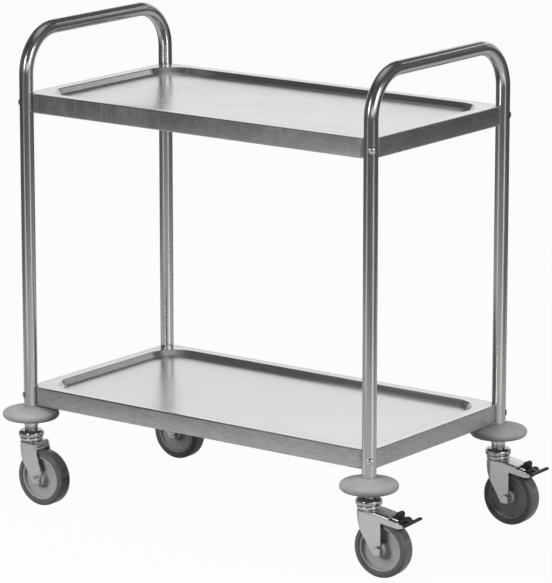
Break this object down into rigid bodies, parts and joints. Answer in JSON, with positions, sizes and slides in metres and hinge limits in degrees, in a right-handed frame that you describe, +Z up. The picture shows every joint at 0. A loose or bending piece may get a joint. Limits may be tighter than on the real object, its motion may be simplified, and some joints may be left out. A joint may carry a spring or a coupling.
{
  "type": "serving trolley",
  "caption": "Serving trolley with bent tube end frames whose tops are push handles, pressed stainless shelves, bumper discs and swivel castors, the right-hand ones with brake pedals.",
  "frame": {"origin": "on the floor under the middle of the trolley's overall length and width", "axes": "+X along the trolley to the braked castors, +Y to the rear, +Z up"},
  "size_m": [0.8923, 0.5024, 0.878],
  "materials": {
    "stainless_tube": "satin",
    "stainless_sheet": "satin",
    "bright_fastener": "polished",
    "bumper_plastic": "matte",
    "grey_tyre": "matte",
    "wheel_plastic": "satin",
    "black_pedal": "satin",
    "zinc_pressing": "satin",
    "bearing_steel": "polished",
    "zinc_fastener": "satin"
  },
  "bodies": {
    "frame": {"front_left_bumper": "bumper_plastic", "front_left_insert": "zinc_fastener", "front_left_king_bolt": "zinc_fastener", "front_left_upper_race": "bearing_steel", "front_right_bumper": "bumper_plastic", "front_right_insert": "zinc_fastener", "front_right_king_bolt": "zinc_fastener", "front_right_upper_race": "bearing_steel", "left_frame_tube": "stainless_tube", "lower_shelf": "stainless_sheet", "lower_shelf_stiffeners": "stainless_sheet", "rear_left_bumper": "bumper_plastic", "rear_left_insert": "zinc_fastener", "rear_left_king_bolt": "zinc_fastener", "rear_left_upper_race": "bearing_steel", "rear_right_bumper": "bumper_plastic", "rear_right_insert": "zinc_fastener", "rear_right_king_bolt": "zinc_fastener", "rear_right_upper_race": "bearing_steel", "right_frame_tube": "stainless_tube", "shelf_nuts": "bright_fastener", "shelf_screws": "bright_fastener", "upper_shelf": "stainless_sheet", "upper_shelf_stiffeners": "stainless_sheet"},
    "front_left_castor": {"front_left_balls": "bearing_steel", "front_left_lower_race": "bearing_steel", "front_left_fork": "zinc_pressing", "front_left_axle_bolt": "zinc_fastener", "front_left_axle_nut": "zinc_fastener", "front_left_axle_sleeve": "zinc_fastener"},
    "front_left_rolling_wheel": {"front_left_wheel": "wheel_plastic", "front_left_tyre": "grey_tyre"},
    "front_right_castor": {"front_right_balls": "bearing_steel", "front_right_lower_race": "bearing_steel", "front_right_fork": "zinc_pressing", "front_right_axle_bolt": "zinc_fastener", "front_right_axle_nut": "zinc_fastener", "front_right_axle_sleeve": "zinc_fastener", "front_right_pivot_pin": "zinc_fastener"},
    "front_right_rolling_wheel": {"front_right_wheel": "wheel_plastic", "front_right_tyre": "grey_tyre"},
    "front_right_brake": {"front_right_pedal": "black_pedal"},
    "rear_left_castor": {"rear_left_balls": "bearing_steel", "rear_left_lower_race": "bearing_steel", "rear_left_fork": "zinc_pressing", "rear_left_axle_bolt": "zinc_fastener", "rear_left_axle_nut": "zinc_fastener", "rear_left_axle_sleeve": "zinc_fastener"},
    "rear_left_rolling_wheel": {"rear_left_wheel": "wheel_plastic", "rear_left_tyre": "grey_tyre"},
    "rear_right_castor": {"rear_right_balls": "bearing_steel", "rear_right_lower_race": "bearing_steel", "rear_right_fork": "zinc_pressing", "rear_right_axle_bolt": "zinc_fastener", "rear_right_axle_nut": "zinc_fastener", "rear_right_axle_sleeve": "zinc_fastener", "rear_right_pivot_pin": "zinc_fastener"},
    "rear_right_rolling_wheel": {"rear_right_wheel": "wheel_plastic", "rear_right_tyre": "grey_tyre"},
    "rear_right_brake": {"rear_right_pedal": "black_pedal"}
  },
  "joints": [
    {"name": "front_left_swivel", "type": "hinge", "parent": "frame", "child": "front_left_castor", "pos_m": [-0.39387, -0.2, 0.1175], "axis": [0, 0, 1], "continuous": true},
    {"name": "front_left_wheel_spin", "type": "hinge", "parent": "front_left_castor", "child": "front_left_rolling_wheel", "pos_m": [-0.36488, -0.2, 0.051], "axis": [0, 1, 0], "continuous": true},
    {"name": "front_right_swivel", "type": "hinge", "parent": "frame", "child": "front_right_castor", "pos_m": [0.35613, -0.2, 0.1175], "axis": [0, 0, 1], "continuous": true},
    {"name": "front_right_wheel_spin", "type": "hinge", "parent": "front_right_castor", "child": "front_right_rolling_wheel", "pos_m": [0.38501, -0.19747, 0.051], "axis": [-0.0872, 0.9962, 0], "continuous": true},
    {"name": "front_right_brake_press", "type": "hinge", "parent": "front_right_castor", "child": "front_right_brake", "pos_m": [0.42387, -0.19407, 0.1015], "axis": [-0.0872, 0.9962, 0], "range_deg": [0, 20]},
    {"name": "rear_left_swivel", "type": "hinge", "parent": "frame", "child": "rear_left_castor", "pos_m": [-0.39387, 0.2, 0.1175], "axis": [0, 0, 1], "continuous": true},
    {"name": "rear_left_wheel_spin", "type": "hinge", "parent": "rear_left_castor", "child": "rear_left_rolling_wheel", "pos_m": [-0.36488, 0.2, 0.051], "axis": [0, 1, 0], "continuous": true},
    {"name": "rear_right_swivel", "type": "hinge", "parent": "frame", "child": "rear_right_castor", "pos_m": [0.35613, 0.2, 0.1175], "axis": [0, 0, 1], "continuous": true},
    {"name": "rear_right_wheel_spin", "type": "hinge", "parent": "rear_right_castor", "child": "rear_right_rolling_wheel", "pos_m": [0.38511, 0.20101, 0.051], "axis": [-0.0349, 0.9994, 0], "continuous": true},
    {"name": "rear_right_brake_press", "type": "hinge", "parent": "rear_right_castor", "child": "rear_right_brake", "pos_m": [0.42408, 0.20237, 0.1015], "axis": [-0.0349, 0.9994, 0], "range_deg": [0, 20]}
  ]
}
